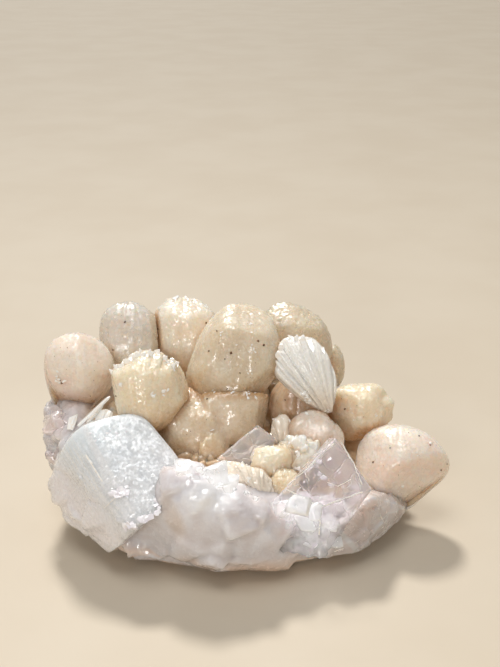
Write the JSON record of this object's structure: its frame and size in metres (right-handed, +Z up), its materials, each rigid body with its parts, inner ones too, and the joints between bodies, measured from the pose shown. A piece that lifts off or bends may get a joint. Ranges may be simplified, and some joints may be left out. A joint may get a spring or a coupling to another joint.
{
  "type": "mineral specimen",
  "caption": "Stilbite and apophyllite specimen: rounded peach and cream stilbite crystals clustered in a shallow, curved crust of pale blocky apophyllite.",
  "frame": {"origin": "middle of the bounding box, on the surface the specimen rests on", "axes": "+X along the longest side, to the right as seen from the front; +Y towards the back; +Z up, the shortest side"},
  "size_m": [0.1026, 0.0662, 0.0545],
  "materials": {
    "stilbite_peach": "satin, pearly",
    "stilbite_cream": "satin, pearly",
    "stilbite_beige": "satin, pearly",
    "stilbite_pearl": "pearly",
    "apophyllite_milky": "frosted, glassy",
    "apophyllite_clear": "glassy"
  },
  "bodies": {
    "root": {"apophyllite_crust": "apophyllite_milky", "apophyllite_rim_left": "apophyllite_milky", "apophyllite_rim_right": "apophyllite_clear", "apophyllite_blade": "apophyllite_clear", "stilbite_left": "stilbite_peach", "stilbite_back_left": "stilbite_beige", "stilbite_back_centre": "stilbite_cream", "stilbite_mid_left": "stilbite_cream", "stilbite_tall_centre": "stilbite_beige", "stilbite_low_centre": "stilbite_beige", "stilbite_back_right": "stilbite_beige", "stilbite_sheaf": "stilbite_pearl", "stilbite_right": "stilbite_peach", "stilbite_far_right": "stilbite_peach", "stilbite_front_cluster": "stilbite_cream", "stilbite_rear": "stilbite_peach"}
  },
  "joints": []
}
